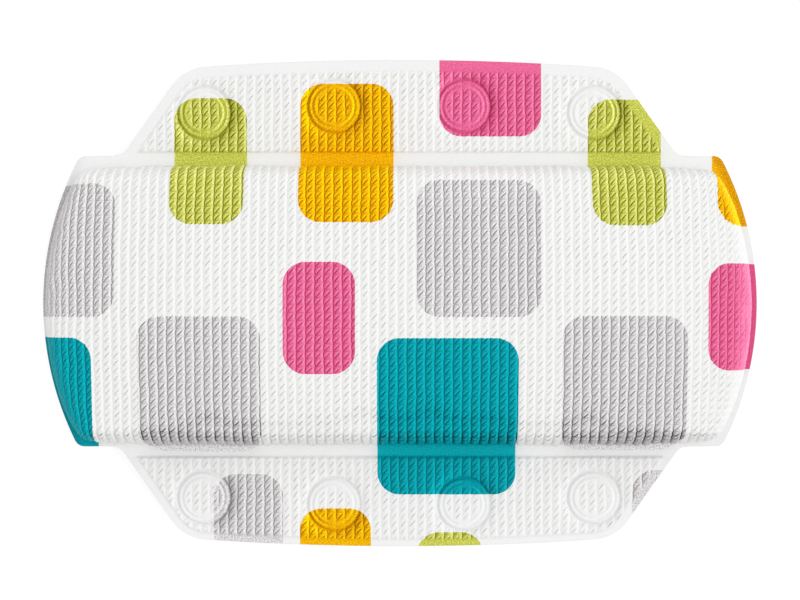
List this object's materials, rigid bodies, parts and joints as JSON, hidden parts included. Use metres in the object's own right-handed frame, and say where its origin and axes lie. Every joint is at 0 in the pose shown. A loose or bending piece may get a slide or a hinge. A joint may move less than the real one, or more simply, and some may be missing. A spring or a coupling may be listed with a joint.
{
  "type": "bath pillow",
  "caption": "Padded neck pillow with bowed ends, a welded knit-embossed cover printed with rounded blocks, and a fold-over flap on each long side with suction cups behind.",
  "frame": {"origin": "centre of the cut outline, on the plane of the cup rims and of the flat middle of the back", "axes": "+X along the pillow to the right as seen from the front, +Y towards the upper flap, +Z out of the padded front"},
  "size_m": [0.33, 0.2248, 0.0428],
  "materials": {
    "cover_foam": "white foamed PVC sheet with a knit emboss and rounded blocks printed in grey, pink, orange, lime and teal",
    "back_film": "plain white PVC film with a fine grain",
    "core_foam": "open-cell cream polyurethane foam",
    "clear_cup": "soft clear moulded PVC"
  },
  "bodies": {
    "pad": {"front_cover": "cover_foam", "back_cover": "back_film", "foam_core": "core_foam"},
    "upper_flap": {"upper_flap_face": "cover_foam", "upper_flap_backing": "back_film", "upper_cup_head_1": "clear_cup", "upper_cup_head_2": "clear_cup", "upper_cup_head_3": "clear_cup", "upper_cup_head_4": "clear_cup"},
    "lower_flap": {"lower_flap_face": "cover_foam", "lower_flap_backing": "back_film", "lower_cup_head_1": "clear_cup", "lower_cup_head_2": "clear_cup", "lower_cup_head_3": "clear_cup", "lower_cup_head_4": "clear_cup"},
    "upper_cup_1": {"upper_cup_bell_1": "clear_cup"},
    "upper_cup_2": {"upper_cup_bell_2": "clear_cup"},
    "upper_cup_3": {"upper_cup_bell_3": "clear_cup"},
    "upper_cup_4": {"upper_cup_bell_4": "clear_cup"},
    "lower_cup_1": {"lower_cup_bell_1": "clear_cup"},
    "lower_cup_2": {"lower_cup_bell_2": "clear_cup"},
    "lower_cup_3": {"lower_cup_bell_3": "clear_cup"},
    "lower_cup_4": {"lower_cup_bell_4": "clear_cup"}
  },
  "joints": [
    {"name": "upper_flap_fold", "type": "hinge", "parent": "pad", "child": "upper_flap", "pos_m": [0, 0.06635, 0.0119], "axis": [1, 0, 0], "range_deg": [-80, 75], "stiffness_Nm_per_rad": 0.03},
    {"name": "lower_flap_fold", "type": "hinge", "parent": "pad", "child": "lower_flap", "pos_m": [0, -0.06835, 0.0119], "axis": [-1, 0, 0], "range_deg": [-80, 75], "stiffness_Nm_per_rad": 0.03},
    {"name": "upper_cup_rock_1", "type": "hinge", "parent": "upper_flap", "child": "upper_cup_1", "pos_m": [-0.09, 0.08775, 0.0072], "axis": [1, 0, 0], "range_deg": [-10, 10], "stiffness_Nm_per_rad": 0.02},
    {"name": "upper_cup_rock_2", "type": "hinge", "parent": "upper_flap", "child": "upper_cup_2", "pos_m": [-0.03, 0.09085, 0.0072], "axis": [1, 0, 0], "range_deg": [-10, 10], "stiffness_Nm_per_rad": 0.02},
    {"name": "upper_cup_rock_3", "type": "hinge", "parent": "upper_flap", "child": "upper_cup_3", "pos_m": [0.03, 0.09085, 0.0072], "axis": [1, 0, 0], "range_deg": [-10, 10], "stiffness_Nm_per_rad": 0.02},
    {"name": "upper_cup_rock_4", "type": "hinge", "parent": "upper_flap", "child": "upper_cup_4", "pos_m": [0.09, 0.08775, 0.0072], "axis": [1, 0, 0], "range_deg": [-10, 10], "stiffness_Nm_per_rad": 0.02},
    {"name": "lower_cup_rock_1", "type": "hinge", "parent": "lower_flap", "child": "lower_cup_1", "pos_m": [-0.09, -0.08975, 0.0072], "axis": [1, 0, 0], "range_deg": [-10, 10], "stiffness_Nm_per_rad": 0.02},
    {"name": "lower_cup_rock_2", "type": "hinge", "parent": "lower_flap", "child": "lower_cup_2", "pos_m": [-0.03, -0.09285, 0.0072], "axis": [1, 0, 0], "range_deg": [-10, 10], "stiffness_Nm_per_rad": 0.02},
    {"name": "lower_cup_rock_3", "type": "hinge", "parent": "lower_flap", "child": "lower_cup_3", "pos_m": [0.03, -0.09285, 0.0072], "axis": [1, 0, 0], "range_deg": [-10, 10], "stiffness_Nm_per_rad": 0.02},
    {"name": "lower_cup_rock_4", "type": "hinge", "parent": "lower_flap", "child": "lower_cup_4", "pos_m": [0.09, -0.08975, 0.0072], "axis": [1, 0, 0], "range_deg": [-10, 10], "stiffness_Nm_per_rad": 0.02}
  ]
}
